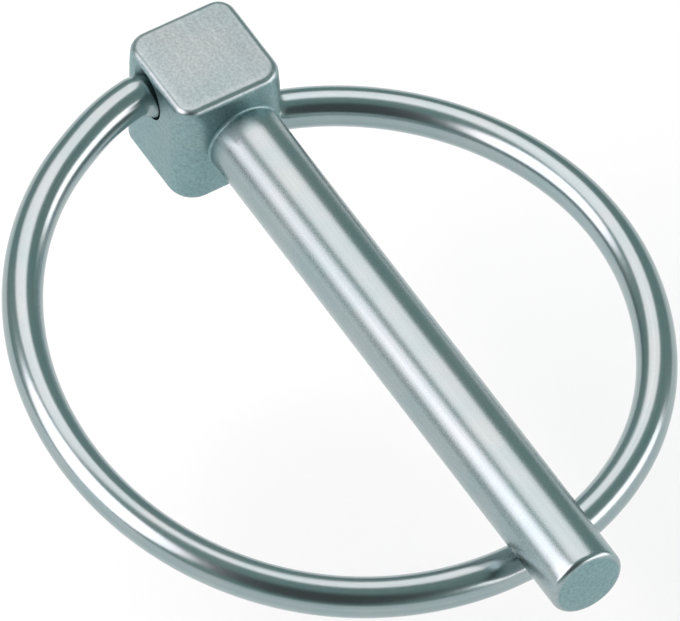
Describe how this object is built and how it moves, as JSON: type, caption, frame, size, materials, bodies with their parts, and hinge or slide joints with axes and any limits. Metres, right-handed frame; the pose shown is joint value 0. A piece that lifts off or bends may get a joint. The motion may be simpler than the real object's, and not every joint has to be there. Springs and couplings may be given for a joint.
{
  "type": "linch pin",
  "caption": "Zinc-plated linch pin: a round shank with a square head and a hinged spring wire ring that snaps shut under the shank to lock it in a hole.",
  "frame": {"origin": "on the shank's axis, halfway along its parallel grip", "axes": "+X along the shank to its tip, +Z out of the head's top face, +Y to the far side of the head"},
  "size_m": [0.0592, 0.0506, 0.0117],
  "materials": {
    "pin": "zinc plated, satin",
    "spring_ring": "zinc plated, bright"
  },
  "bodies": {
    "pin": {"pin": "pin"},
    "ring": {"spring_ring": "spring_ring"}
  },
  "joints": [
    {"name": "ring_swing", "type": "hinge", "parent": "pin", "child": "ring", "pos_m": [-0.02437, -0.0008, 0.00028], "axis": [0.2257, 0.8646, -0.4489], "range_deg": [0, 180], "stiffness_Nm_per_rad": 0.05, "springref_deg": -17.19}
  ]
}
